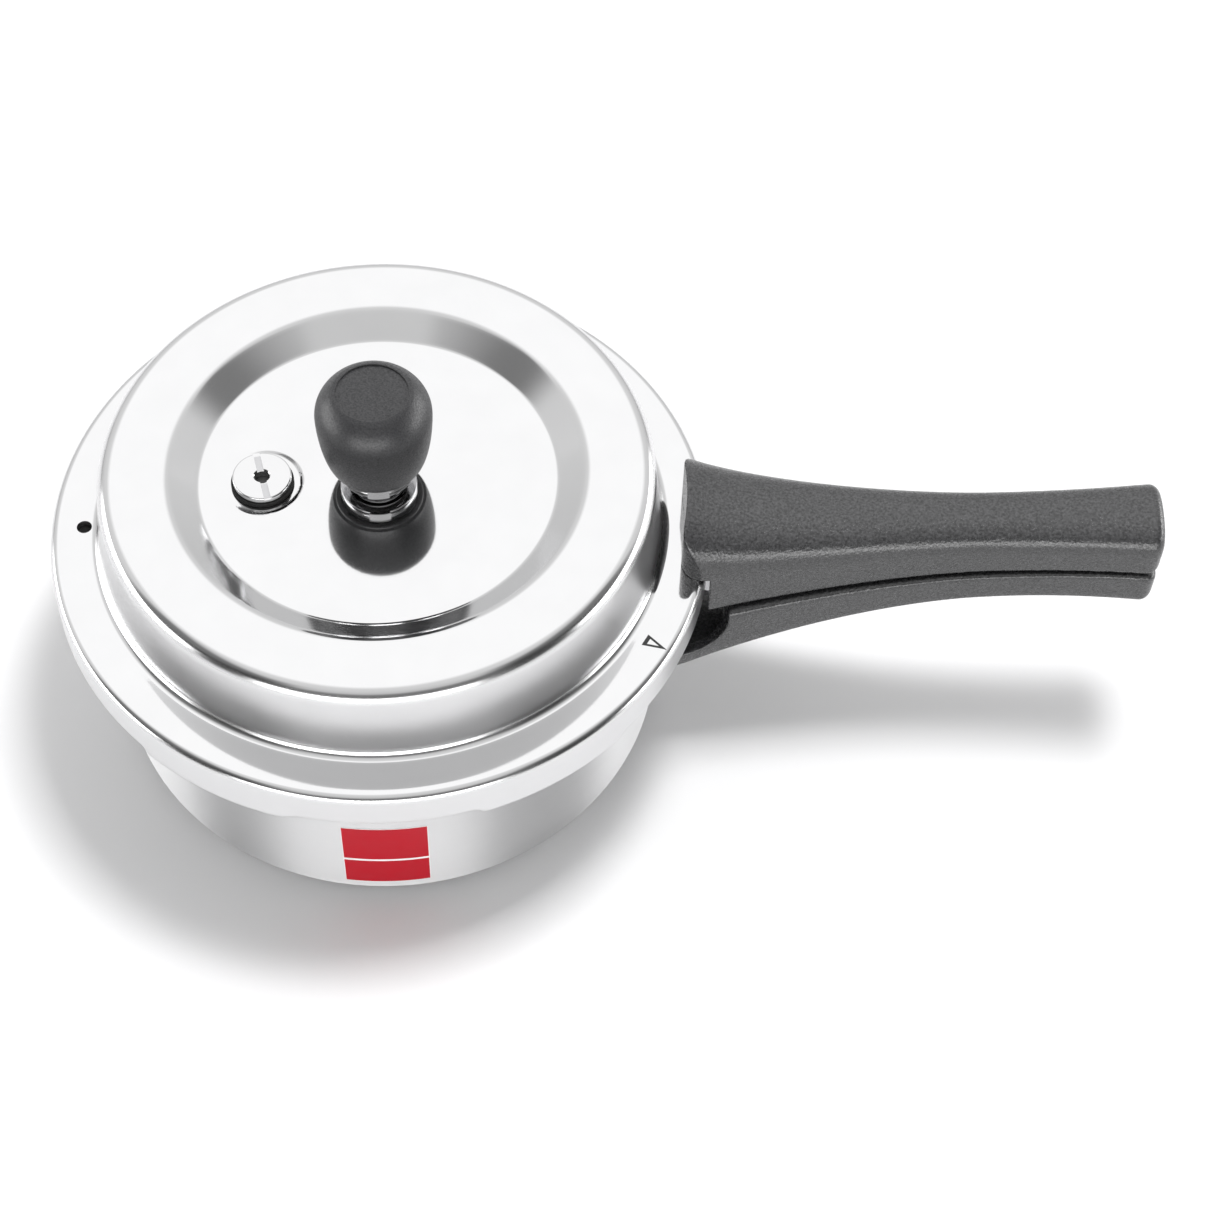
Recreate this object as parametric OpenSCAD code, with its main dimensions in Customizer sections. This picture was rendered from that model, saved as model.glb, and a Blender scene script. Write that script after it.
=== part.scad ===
// Stovetop pressure cooker with an outer bayonet lid, a weight valve and a safety plug.
// Millimetres. +Z is up, the origin is the centre of the pan's base, and +X runs along
// the handles. "Drop" values are distances below the lid flange's top face.

/* [Pan] */
// Outer radius of the pan's wall
pan_r = 90; // [89:0.5:90.5]
// Thickness of the pan's wall
pan_wall = 3; // [2.5:0.1:3.5]
// Thickness of the pan's floor
pan_floor = 4; // [3.5:0.1:5]
// Radius of the pan's outer bottom corner
pan_corner = 9; // [7:0.5:9]
// Thickness of the pan's rim
rim_t = 3.2; // [3:0.1:3.4]

/* [Lid] */
// Height of the flange's top face above the base
flange_z = 85; // [82:0.5:95]
// Outer radius of the lid's skirt
lid_r = 105; // [105:0.1:105.5]
// Thickness of the lid's sheet
sheet = 2.4; // [2.2:0.1:2.5]
// Depth of the skirt between two lugs
skirt_drop = 13.5; // [13:0.1:14]
// Height of the recessed disc's edge above the flange
disc_h = 20.8; // [20:0.1:21.5]
// Rise of the disc from its edge to its middle
disc_rise = 1.4; // [1.3:0.1:1.6]
// Height of the raised ring above the flange
ring_h = 28; // [27:0.1:29]
// Radius of the recessed disc
disc_r = 55; // [53:0.1:56]

/* [Bayonet] */
// Number of lugs on the pan, and on the lid
lugs = 6; // [6:1:6]
// Angle that one lug spans
lug_span = 28; // [26:0.5:28]
// Angle of the first lug's centre when the lid is closed
lug_at = 4.5; // [0:0.5:8]
// Depth of the lid lugs' lowest face
lug_drop = 17.2; // [17:0.1:18]

/* [Handles] */
// Distance from the axis to the handles' far end
handle_end = 246.8; // [230:0.2:255]
// Half width at the root
handle_root_w = 21.5; // [21:0.1:22]
// Half width at the waist
handle_waist_w = 11.2; // [11:0.1:14]
// Half width at the far end
handle_end_w = 13.7; // [12.5:0.1:16]
// Gap between the two handles
handle_gap = 1.4; // [1:0.1:2]

/* [Weight valve] */
// Largest radius of the knob
knob_r = 17.9; // [17:0.1:19]
// Height of the knob's widest place above the disc
knob_mid_h = 30; // [29.5:0.1:31]
// Radius of the steel collar
collar_r = 12; // [12:0.1:12.2]
// Height of the collar's lower edge above the disc
collar_h = 3.8; // [3.5:0.1:4]

/* [Safety plug] */
// Distance of the plug from the lid's axis
plug_at_r = 36; // [34:0.5:40]
// Angle of the plug round the lid's axis
plug_angle = 186; // [180:1:190]
// Radius of the plug's head
plug_r = 9.2; // [9:0.1:9.5]

/* [Label] */
// Height of the label
label_h = 33; // [25:0.5:33]
// Angle that the label spans
label_span = 17.5; // [12:0.1:20]

/* [Hidden] */
$fn = 96;

arc_steps = 7;
slack = 0.05;                          // clearance of a fastener in its hole

// Pan rim and gasket, under the lid
rim_neck = 1.5;
rim_round = 0.8;
gasket_top_drop = sheet + 0.15;
gasket_bottom_drop = 9.5;
gasket_in_r = 89;
gasket_out_r = 101.2;
rim_z = flange_z - gasket_bottom_drop - 0.1;
rim_out_r = 94.8;
pan_lug_r = 101.6;
pan_lug_lip = 1.4;
pan_lug_round = 0.7;
lug_pitch = 360 / lugs;
lid_lug_in_r = 95.5;
lid_lug_t = 2.3;
lid_lug_curl = 2.2;
lid_lug_round = 0.8;

// Lid section
foot_fillet = 3;
foot_r = 92.2;
slope_foot_fillet = 3;
slope_top_fillet = 6;
slope_angle = 36;
shoulder_fillet = 5.5;
edge_fillet = 3;
wall_draft = 6;                        // degrees that the dome's wall leans in
slope_run = (slope_foot_fillet + slope_top_fillet) * tan(slope_angle / 2) + (ring_h - disc_h) / tan(slope_angle);
wall_rise = ring_h - shoulder_fillet * (1 - sin(wall_draft)) - foot_fillet * (1 - sin(wall_draft));
shoulder_at_r = foot_r - wall_rise * tan(wall_draft) - (shoulder_fillet + foot_fillet) * cos(wall_draft);
disc_flat_r = 10;                      // the disc is flat inside this radius, where the vent pipe sits
disc_edge_z = flange_z + disc_h;
disc_z = disc_edge_z + disc_rise;      // its middle
disc_under_z = disc_z - sheet;
disc_run = disc_r - disc_flat_r;
disc_bend_r = (disc_run * disc_run + disc_rise * disc_rise) / (2 * disc_rise);
disc_bend = asin(disc_run / disc_bend_r);

sight_at_r = 94.2;
sight_hole_r = 2.4;
sight_angle = 184.6;

// Lines of the handles, as heights above or below the flange
handle_front = 96.7;
front_round = 7;                       // of the two upright corners at the upper handle's front
flange_clear_r = lid_r + 1.8;
gap_line = [[97, -18.2], [184, -0.9], [handle_end, 2.4]];
top_line = [[92, 20], [117.9, 4.8], [handle_end, 19.2]];
under_line = [[88, -51.2], [161.9, -11.8], [handle_end, -13]];
pan_root_extra = 2.2;                  // how much wider the lower handle is on each side, at its root
pan_end_extra = 0.4;                   // and at its far end
waist_x = 190;
root_x = 98;
crown = 1.2;
taper_power = 1.6;                     // how fast the handles widen from the waist to the root
lid_corner_powers = [5, 40];           // roundness of a section's upper and lower corners: more is squarer
pan_corner_powers = [14, 6.5];
lid_skin_start = 94;
pan_skin_start = 88.4;
end_round = 4;
stations = 22;
ring_points = 40;

// Brackets and their fasteners
bracket_t = 2;
tongue_half_w = 8;
tongue_t = 2.4;
tongue_slack = 0.2;
pan_plate_drops = [22, 38];            // its upper and lower edge
pan_plate_span = 22;
lid_plate_drops = [1.8, 12];
lid_plate_span = 16.5;
lid_tongue_drop = 4.2;                 // its lower face
lid_tongue_end = 150;
plate_pocket_end = 111.2;
plate_pocket_half_w = 16;
lid_screw_x = 138;
pan_tongue_drop = 27;
pan_tongue_end = 132;
pan_screw_x = 122;
trough_drop = 38.5;
trough_wall = 4;
trough_end = 112;
trough_round = 6;
relief_r = 17;                         // of the hollow under the lid's skirt, seen from the side
relief_x = 95;
relief_drop = 20;
rivet_r = 2;
rivet_head_r = 3.4;
rivet_head_h = 1.5;
pan_rivet_angle = 8;
pan_rivet_drop = 32.5;
lid_rivet_angle = 6;
lid_rivet_drop = 7.6;
screw_r = 2;
screw_head_r = 4;
screw_head_h = 2.4;
screw_recess = 0.3;

// Vent, weight and plug
vent_hole_r = 5;
vent_bore_r = 1.6;
vent_pipe_r = 4.6;
vent_top_h = 22.9;
vent_flange_r = 8;
vent_flange_h = 1.3;
vent_washer_t = 0.8;
core_in_r = 5;
core_out_r = 9.2;
core_top_h = 31.9;
needle_tip_h = 20.9;
needle_r = 2.6;
clip_in_r = 5.6;
clip_h = 2.4;
clip_flange_r = 8.6;
clip_flange_t = 0.8;
clip_grip_h = 5.2;
tab_mid = -84;                         // the small raised tab on the collar
tab_span = 31;
tab_t = 0.6;
tab_h = 4.1;
knob_foot_r = 13.9;
knob_foot_h = 9.1;
knob_face_r = 11.4;
knob_face_h = 39.4;
knob_rise = 13.6;
knob_power = 1.18;                     // below 1 makes the knob's lower part fuller, above 1 slimmer
plug_hole_r = 5;
plug_bore_r = 2.4;
dimple_r = 12;
dimple_h = 1.1;                        // its floor, below the disc's middle
plug_under_z = disc_under_z - dimple_h;
seal_t = 1.5;
plug_head_t = 2.3;
nut_t = 4.5;
nut_r = 9.6;
label_z = 10;
label_mid = -86.5;

aluminium = "gainsboro";
steel = "silver";
bakelite = "dimgray";
rubber = "black";

// ---------- Helpers ----------

// Points along an arc of radius r about [x, y], from angle a to angle b
function arc(x, y, r, a, b) =
    [for (i = [0 : arc_steps]) let (t = a + (b - a) * i / arc_steps) [x + r * cos(t), y + r * sin(t)]];

function reversed(list) = [for (i = [len(list) - 1 : -1 : 0]) list[i]];

// A list without its first item
function rest(list) = [for (i = [1 : len(list) - 1]) list[i]];

// Height on a quadratic curve through three control points, at station x
function curve_t(p, x) =
    let (a = p[0][0] - 2 * p[1][0] + p[2][0], b = 2 * (p[1][0] - p[0][0]), c = p[0][0] - x)
    abs(a) < 0.001 ? -c / b : (-b + sqrt(b * b - 4 * a * c)) / (2 * a);
function curve_z(p, x) =
    let (t = curve_t(p, x)) (1 - t) * (1 - t) * p[0][1] + 2 * t * (1 - t) * p[1][1] + t * t * p[2][1];

// Half width of a handle at station x
function handle_w(x) = x < waist_x
    ? handle_waist_w + (handle_root_w - handle_waist_w) * pow((waist_x - x) / (waist_x - root_x), taper_power)
    : handle_waist_w + (handle_end_w - handle_waist_w) * pow((x - waist_x) / (handle_end - waist_x), 2);

// Half width of the lower handle at station x
function pan_handle_w(x) =
    handle_w(max(x, root_x)) + pan_root_extra + (pan_end_extra - pan_root_extra) * (x - root_x) / (handle_end - root_x);

// How far a section is drawn in near the rounded far end
function end_inset(x) =
    let (u = max(0, (x - handle_end + end_round) / end_round)) end_round * (1 - sqrt(max(0, 1 - u * u)));

function power(v, e) = sign(v) * pow(abs(v), 2 / e);

// One closed section of a handle: a rounded rectangle with its own corner power above and below
function section(x, half_w, low, high, powers, dome) =
    [for (i = [0 : ring_points - 1])
        let (a = 360 * i / ring_points,
             e = sin(a) >= 0 ? powers[0] : powers[1],
             y = power(cos(a), e),
             z = power(sin(a), e))
        [x, half_w * y, (low + high) / 2 + (high - low) / 2 * z + (sin(a) > 0 ? dome * (1 - y * y) : 0)]];

// A solid skinned over sections of ring_points points each, first section to last
module skin(sections) {
    count = len(sections);
    points = [for (s = sections) each s];
    sides = [for (i = [0 : count - 2], j = [0 : ring_points - 1])
        let (k = (j + 1) % ring_points)
        [i * ring_points + j, (i + 1) * ring_points + j, (i + 1) * ring_points + k, i * ring_points + k]];
    first_cap = [for (j = [0 : ring_points - 1]) j];
    last_cap = [for (j = [ring_points - 1 : -1 : 0]) (count - 1) * ring_points + j];
    polyhedron(points, concat(sides, [first_cap, last_cap]), convexity = 6);
}

// Stations along a handle, closer together on the rounded end
function handle_x(start) = concat(
    [for (i = [0 : stations]) start + (handle_end - end_round - start) * i / stations],
    [for (i = [1 : 5]) handle_end - end_round * (1 - sin(18 * i)) - (i == 5 ? 0.01 : 0)]);

// A sector of a ring: the section between two radii and two heights, swept over an angle
module ring_sector(r_in, r_out, z_low, z_high, mid, span) {
    rotate([0, 0, mid - span / 2])
        rotate_extrude(angle = span)
            translate([r_in, z_low])
                square([r_out - r_in, z_high - z_low]);
}

module at_lugs() {
    for (i = [0 : lugs - 1])
        rotate([0, 0, lug_at + lug_pitch * i - lug_span / 2])
            children();
}

module at_plug() {
    rotate([0, 0, plug_angle])
        translate([plug_at_r, 0, 0])
            children();
}

module tube(r_in, r_out, z_low, z_high) {
    rotate_extrude()
        translate([r_in, z_low])
            square([r_out - r_in, z_high - z_low]);
}

// ---------- Pan ----------

module pan_section() {
    inner_r = pan_r - pan_wall;
    inner_corner = pan_corner - 1;
    polygon(concat(
        [[0, 0]],
        arc(pan_r - pan_corner, pan_corner, pan_corner, -90, 0),
        arc(pan_r + rim_neck, rim_z - rim_t - rim_neck, rim_neck, 180, 90),
        arc(rim_out_r - rim_round, rim_z - rim_t + rim_round, rim_round, -90, 0),
        [[rim_out_r, rim_z]],
        arc(inner_r + rim_neck, rim_z - rim_neck, rim_neck, 90, 180),
        arc(inner_r - inner_corner, pan_floor + inner_corner, inner_corner, 0, -90),
        [[0, pan_floor]]));
}

module pan_lug_section() {
    low = rim_z - rim_t;
    root_r = rim_out_r - 0.4;
    polygon(concat(
        [[root_r, rim_z], [root_r, low], [pan_lug_r - 3.2, low], [pan_lug_r - 2.4, low - pan_lug_lip]],
        arc(pan_lug_r - pan_lug_round, low - pan_lug_lip + pan_lug_round, pan_lug_round, -90, 0),
        arc(pan_lug_r - pan_lug_lip, rim_z - pan_lug_lip, pan_lug_lip, 0, 90)));
}

module at_pan_rivets(inset = 0) {
    for (a = [-pan_rivet_angle, pan_rivet_angle])
        rotate([0, 0, a])
            translate([pan_r - pan_wall - inset, 0, flange_z - pan_rivet_drop])
                rotate([0, 90, 0])
                    children();
}

module pan_body() {
    color(aluminium)
        difference() {
            union() {
                rotate_extrude() pan_section();
                at_lugs() rotate_extrude(angle = lug_span) pan_lug_section();
            }
            at_pan_rivets(2) cylinder(r = rivet_r + slack, h = 10, $fn = 32);
        }
}

module pan_bracket() {
    color(steel)
        difference() {
            union() {
                ring_sector(pan_r + 0.02, pan_r + bracket_t, flange_z - pan_plate_drops[1],
                            flange_z - pan_plate_drops[0], 0, pan_plate_span);
                translate([pan_r + 1, -tongue_half_w, flange_z - pan_tongue_drop])
                    cube([pan_tongue_end - pan_r - 1, tongue_half_w * 2, tongue_t]);
            }
            at_pan_rivets(2) cylinder(r = rivet_r + slack, h = 10, $fn = 32);
            translate([pan_screw_x, 0, flange_z - 30])
                cylinder(r = screw_r + slack, h = 20, $fn = 32);
        }
}

module rivet(grip) {
    cylinder(r = rivet_r, h = grip, $fn = 32);
    translate([0, 0, grip])
        rivet_head();
    mirror([0, 0, 1])
        rivet_head();
}

module rivet_head() {
    rotate_extrude($fn = 32)
        polygon([[0, 0], [rivet_head_r, 0], [rivet_head_r - 0.3, rivet_head_h - 0.8],
                 [rivet_head_r - 1.2, rivet_head_h - 0.2], [0, rivet_head_h]]);
}

module pan_bracket_rivets() {
    color(steel)
        at_pan_rivets(slack) rivet(pan_wall + bracket_t + 3 * slack);
}

module pan_handle_screw() {
    color(steel)
        translate([pan_screw_x, 0, flange_z - pan_tongue_drop - 4])
            screw(9);
}

// A screw from below: the driver's slot at the bottom, the shank upward
module screw(length) {
    difference() {
        union() {
            cylinder(r = screw_r, h = length, $fn = 32);
            mirror([0, 0, 1])
                cylinder(r1 = screw_head_r, r2 = screw_head_r - 0.8, h = screw_head_h, $fn = 32);
        }
        translate([-screw_head_r - 1, -0.6, -screw_head_h - 1])
            cube([screw_head_r * 2 + 2, 1.2, 2]);
    }
}

module pan_handle_outline() {
    skin([for (x = handle_x(pan_skin_start))
        let (inset = end_inset(x))
        section(x, pan_handle_w(x) - inset,
                flange_z + curve_z(under_line, x) + inset,
                flange_z + curve_z(gap_line, max(x, root_x)) - handle_gap - inset * 0.6,
                pan_corner_powers, 0)]);
}

// The space that the lid's skirt and lugs sweep through, seen from the side
module skirt_relief() {
    translate([relief_x, 0, flange_z - relief_drop])
        rotate([90, 0, 0])
            cylinder(r = relief_r, h = 80, center = true);
    translate([80, -40, flange_z - relief_drop])
        cube([relief_x + relief_r - 80, 80, 30]);
}

// Plan of the trough at the root, which follows the handle's taper
module trough_plan() {
    bend_x = trough_end - trough_round;
    half = concat([for (x = [bend_x - 20 : 5 : bend_x]) [x, pan_handle_w(x) - trough_wall]],
                  arc(bend_x, pan_handle_w(trough_end - 1) - trough_wall - trough_round, trough_round, 70, 0));
    polygon(concat(half, [for (p = reversed(half)) [p[0], -p[1]]]));
}

// What is cut off to round one upright corner at the upper handle's front
module front_corner() {
    y = handle_w(handle_front + front_round) - front_round;
    x = sqrt(pow(handle_front + front_round, 2) - y * y);
    translate([0, 0, flange_z - 5])
        linear_extrude(height = 40)
            polygon(concat(arc(x, y, front_round, 180 + atan(y / x), 75),
                           [[x, y + front_round + 5], [handle_front - 12, y + front_round + 5],
                            [handle_front - 12, y]]));
}

// Slot for a bracket's tongue, from its root to its end
module tongue_slot(root, end, drop) {
    translate([root, -tongue_half_w - tongue_slack, flange_z - drop - tongue_slack / 2])
        cube([end + 0.3 - root, (tongue_half_w + tongue_slack) * 2, tongue_t + tongue_slack]);
}

// Hole for a handle's screw: its shank up to one height, its head up to another
module screw_hole(x, shank_top, head_top) {
    translate([x, 0, 0]) {
        cylinder(r = screw_r + slack, h = shank_top, $fn = 32);
        cylinder(r = screw_head_r + screw_recess, h = head_top, $fn = 32);
    }
}

module pan_handle() {
    color(bakelite)
        difference() {
            pan_handle_outline();
            cylinder(r = pan_r + bracket_t + 0.2, h = flange_z, $fn = 180);
            skirt_relief();
            // trough round the bracket, open at the top
            translate([0, 0, flange_z - trough_drop])
                linear_extrude(height = 40)
                    trough_plan();
            // room for the rivets' heads
            at_pan_rivets() cylinder(r = rivet_head_r + 0.4, h = pan_wall + bracket_t + rivet_head_h + 0.6);
            tongue_slot(100, pan_tongue_end, pan_tongue_drop);
            screw_hole(pan_screw_x, flange_z - pan_tongue_drop + 5.5, flange_z - pan_tongue_drop - 4);
        }
}

module front_label() {
    color("crimson")
        ring_sector(pan_r + 0.03, pan_r + 0.25, label_z, label_z + label_h, label_mid, label_span);
}

// ---------- Gasket ----------

module gasket() {
    high = flange_z - gasket_top_drop;
    low = flange_z - gasket_bottom_drop;
    color(rubber)
        rotate_extrude()
            polygon(concat(
                arc(gasket_out_r - 1, high - 1, 1, 0, 90),
                arc(gasket_in_r + 1, high - 1, 1, 90, 180),
                [[gasket_in_r, high - 2.6], [gasket_in_r + 2, high - 3.5], [gasket_in_r, high - 4.4]],
                arc(gasket_in_r + 1, low + 1, 1, 180, 270),
                arc(gasket_out_r - 1, low + 1, 1, 270, 360)));
}

// ---------- Lid ----------

// The lid's outer face from the axis to the skirt's edge, or its inner face when t is the sheet
function lid_face(t) = concat(
    [[0, disc_z - t]],
    arc(disc_flat_r, disc_z - disc_bend_r, disc_bend_r - t, 90, 90 - disc_bend),
    rest(arc(disc_r, disc_edge_z + slope_foot_fillet, slope_foot_fillet + t, -90, slope_angle - 90)),
    arc(disc_r + slope_run, flange_z + ring_h - slope_top_fillet, slope_top_fillet - t, 90 + slope_angle, 90),
    arc(shoulder_at_r, flange_z + ring_h - shoulder_fillet, shoulder_fillet - t, 90, wall_draft),
    arc(foot_r, flange_z + foot_fillet, foot_fillet + t, 180 + wall_draft, 270),
    arc(lid_r - edge_fillet, flange_z - edge_fillet, edge_fillet - t, 90, 0));

// The lid's section where it has a lug: the skirt turns in under the pan's lugs
module lid_section() {
    low = flange_z - lug_drop;
    nose_r = lid_lug_in_r + lid_lug_round;
    polygon(concat(
        lid_face(0),
        arc(lid_r - lid_lug_curl, low + lid_lug_curl, lid_lug_curl, 0, -90),
        arc(nose_r, low + lid_lug_round, lid_lug_round, 270, 180),
        arc(nose_r, low + lid_lug_t - lid_lug_round, lid_lug_round, 180, 90),
        [[lid_r - sheet, low + lid_lug_t]],
        reversed(lid_face(sheet))));
}

// What is cut away between two lugs
module lug_gaps() {
    for (i = [0 : lugs - 1])
        rotate([0, 0, lug_at + lug_pitch * i + lug_span / 2])
            rotate_extrude(angle = lug_pitch - lug_span)
                translate([lid_lug_in_r - 2, flange_z - lug_drop - 1])
                    square([lid_r - lid_lug_in_r + 4, lug_drop - skirt_drop + 1]);
}

module at_lid_rivets(inset = 0) {
    for (a = [-lid_rivet_angle, lid_rivet_angle])
        rotate([0, 0, a])
            translate([lid_r - sheet - inset, 0, flange_z - lid_rivet_drop])
                rotate([0, 90, 0])
                    children();
}

module lid_shell() {
    color(aluminium)
        difference() {
            union() {
                rotate_extrude() lid_section();
                // the dimple's underside
                at_plug()
                    translate([0, 0, plug_under_z])
                        cylinder(r = dimple_r + 1, h = sheet, $fn = 64);
            }
            lug_gaps();
            // vent hole
            translate([0, 0, disc_under_z - 1])
                cylinder(r = vent_hole_r + slack, h = sheet + 2, $fn = 48);
            // plug hole in its dimple
            at_plug() {
                translate([0, 0, plug_under_z - 1])
                    cylinder(r = plug_hole_r + slack, h = sheet + 2, $fn = 48);
                translate([0, 0, disc_z - dimple_h])
                    cylinder(r = dimple_r, h = 3, $fn = 64);
            }
            // sight hole over the gasket
            rotate([0, 0, sight_angle])
                translate([sight_at_r, 0, flange_z - sheet - 1])
                    cylinder(r = sight_hole_r, h = sheet + 2, $fn = 32);
            at_lid_rivets(1) cylinder(r = rivet_r + slack, h = 6, $fn = 32);
        }
}

module lid_bracket() {
    color(steel)
        difference() {
            union() {
                ring_sector(lid_r + 0.02, lid_r + bracket_t, flange_z - lid_plate_drops[1],
                            flange_z - lid_plate_drops[0], 0, lid_plate_span);
                translate([lid_r + 1, -tongue_half_w, flange_z - lid_tongue_drop])
                    cube([lid_tongue_end - lid_r - 1, tongue_half_w * 2, tongue_t]);
            }
            at_lid_rivets(1) cylinder(r = rivet_r + slack, h = 8, $fn = 32);
            translate([lid_screw_x, 0, flange_z - 10])
                cylinder(r = screw_r + slack, h = 12, $fn = 32);
        }
}

// Flush inside the skirt, with a domed head outside
module lid_bracket_rivets() {
    color(steel)
        at_lid_rivets() {
            cylinder(r = rivet_r, h = sheet + bracket_t + slack, $fn = 32);
            translate([0, 0, sheet + bracket_t + slack])
                rivet_head();
        }
}

module lid_handle_outline() {
    skin([for (x = handle_x(lid_skin_start))
        let (inset = end_inset(x))
        section(x, handle_w(max(x, root_x)) - inset,
                flange_z + curve_z(gap_line, max(x, 97)) + inset * 0.6,
                flange_z + curve_z(top_line, x) - inset,
                lid_corner_powers, crown)]);
}

module lid_handle() {
    color(bakelite)
        difference() {
            lid_handle_outline();
            // front face, round the dome
            translate([0, 0, flange_z - 30])
                cylinder(r = handle_front, h = 60, $fn = 180);
            front_corner();
            mirror([0, 1, 0])
                front_corner();
            // step over the flange and the skirt
            cylinder(r = flange_clear_r, h = flange_z, $fn = 180);
            // pocket for the bracket's plate and rivets
            translate([root_x, -plate_pocket_half_w, flange_z - 25])
                cube([plate_pocket_end - root_x, plate_pocket_half_w * 2, 24]);
            tongue_slot(plate_pocket_end - 5, lid_tongue_end, lid_tongue_drop);
            screw_hole(lid_screw_x, flange_z + 1.5, flange_z - lid_tongue_drop - 2.6);
        }
}

module lid_handle_screw() {
    color(steel)
        translate([lid_screw_x, 0, flange_z - lid_tongue_drop - 2.6])
            screw(8);
}

// ---------- Vent pipe ----------

module vent_pipe() {
    color(steel)
        difference() {
            rotate_extrude()
                polygon([[0, disc_under_z - 6], [vent_hole_r, disc_under_z - 6],
                         [vent_hole_r, disc_z + vent_washer_t], [vent_flange_r, disc_z + vent_washer_t],
                         [vent_flange_r, disc_z + vent_washer_t + vent_flange_h],
                         [vent_pipe_r, disc_z + vent_washer_t + vent_flange_h],
                         [vent_pipe_r, disc_z + vent_top_h - 1], [vent_pipe_r - 1, disc_z + vent_top_h],
                         [0, disc_z + vent_top_h]]);
            translate([0, 0, disc_under_z - 8])
                cylinder(r = vent_bore_r, h = vent_top_h + 20, $fn = 32);
        }
}

module vent_washer() {
    color(rubber)
        tube(vent_hole_r + slack, vent_flange_r + 0.8, disc_z, disc_z + vent_washer_t);
}

// A hexagonal nut with its top face at height top
module nut(hole_r, top) {
    difference() {
        translate([0, 0, top - nut_t])
            cylinder(r = nut_r, h = nut_t, $fn = 6);
        translate([0, 0, top - nut_t - 1])
            cylinder(r = hole_r + slack, h = nut_t + 2, $fn = 48);
    }
}

module vent_nut() {
    color(steel) nut(vent_hole_r, disc_under_z);
}

// ---------- Safety plug ----------

module safety_plug() {
    seat = disc_z - dimple_h + seal_t;
    color(steel)
        at_plug()
            difference() {
                union() {
                    translate([0, 0, plug_under_z - 6])
                        cylinder(r = plug_hole_r, h = seat - plug_under_z + 6.5, $fn = 48);
                    rotate_extrude($fn = 64)
                        polygon([[0, seat], [plug_r, seat], [plug_r, seat + plug_head_t - 0.5],
                                 [plug_r - 0.5, seat + plug_head_t], [0, seat + plug_head_t]]);
                }
                translate([0, 0, plug_under_z - 8])
                    cylinder(r = plug_bore_r, h = 40, $fn = 32);
                // driver's slot
                rotate([0, 0, 17 - plug_angle])
                    translate([-1.05, -12, seat + plug_head_t - 0.9])
                        cube([2.1, 24, 2]);
            }
}

module plug_seal() {
    seat = disc_z - dimple_h;
    color(rubber)
        at_plug()
            tube(plug_hole_r + slack, plug_r + 0.6, seat, seat + seal_t);
}

// Melts and opens the plug's bore when the cooker boils dry
module fusible_alloy() {
    color("gray")
        at_plug()
            translate([0, 0, plug_under_z - 5])
                cylinder(r = plug_bore_r - slack, h = sheet + 5.5, $fn = 32);
}

module plug_nut() {
    color(steel)
        at_plug() nut(plug_hole_r, plug_under_z);
}

// ---------- Weight valve ----------

// Ring that grips the vent pipe, with a flange at its foot
module weight_clip() {
    low = disc_z + clip_h;
    grip_r = vent_pipe_r + 0.3;
    color(steel) {
        tube(grip_r, clip_in_r + 0.4, low, low + clip_grip_h);
        tube(grip_r, clip_flange_r, low, low + clip_flange_t);
    }
}

module weight_needle() {
    top = disc_z + core_top_h - 1;
    seat = disc_z + vent_top_h + 0.3;
    color(steel)
        rotate_extrude($fn = 48)
            polygon([[0, disc_z + needle_tip_h], [0.5, disc_z + needle_tip_h], [1.3, seat],
                     [needle_r, seat], [needle_r, top], [0, top]]);
}

module weight_core() {
    foot = disc_z + collar_h + 0.3;
    top = disc_z + core_top_h;
    color(steel)
        rotate_extrude()
            polygon([[clip_in_r + 0.8, foot], [core_out_r, foot], [core_out_r, top], [needle_r + slack, top],
                     [needle_r + slack, disc_z + vent_top_h + 0.8], [core_in_r, disc_z + vent_top_h + 0.8],
                     [core_in_r, foot + 5], [clip_in_r + 0.8, foot + 5]]);
}

module weight_collar() {
    low = disc_z + collar_h;
    high = disc_z + knob_foot_h + 4;
    color(steel)
        rotate_extrude()
            polygon([[core_out_r + slack, low], [collar_r - 0.3, low], [collar_r, low + 0.3],
                     [collar_r, low + 1.2], [collar_r - 0.5, low + 1.7], [collar_r - 0.5, low + 2.6],
                     [collar_r, low + 3.1], [collar_r, high], [core_out_r + slack, high]]);
    color(steel)
        ring_sector(collar_r - 1, collar_r + tab_t, low, low + tab_h, tab_mid, tab_span);
}

// Outline of the knob's outside from its foot to the recessed face
function knob_outline() = concat(
    [for (i = [0 : 12])
        let (a = 7.5 * i)
        [knob_foot_r + (knob_r - knob_foot_r) * pow(sin(a), knob_power),
         knob_mid_h - (knob_mid_h - knob_foot_h) * pow(cos(a), knob_power)]],
    [for (i = [1 : 8])
        let (a = 6.1 * i)
        [knob_r * cos(a), knob_mid_h + knob_rise * sin(a)]],
    [[knob_face_r, knob_face_h], [0, knob_face_h]]);

module weight_knob() {
    high = disc_z + core_top_h + 0.2;
    shelf = disc_z + knob_foot_h + 4.1;
    color("black")
        rotate_extrude()
            polygon(concat(
                [for (p = knob_outline()) [p[0], disc_z + p[1]]],
                [[0, high], [core_out_r + slack, high], [core_out_r + slack, shelf],
                 [collar_r + slack, shelf], [collar_r + slack, disc_z + knob_foot_h]]));
}

pan_body();
pan_bracket();
pan_bracket_rivets();
pan_handle();
pan_handle_screw();
front_label();
gasket();
lid_shell();
lid_bracket();
lid_bracket_rivets();
lid_handle();
lid_handle_screw();
vent_pipe();
vent_washer();
vent_nut();
safety_plug();
plug_seal();
fusible_alloy();
plug_nut();
weight_clip();
weight_needle();
weight_core();
weight_collar();
weight_knob();
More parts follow.
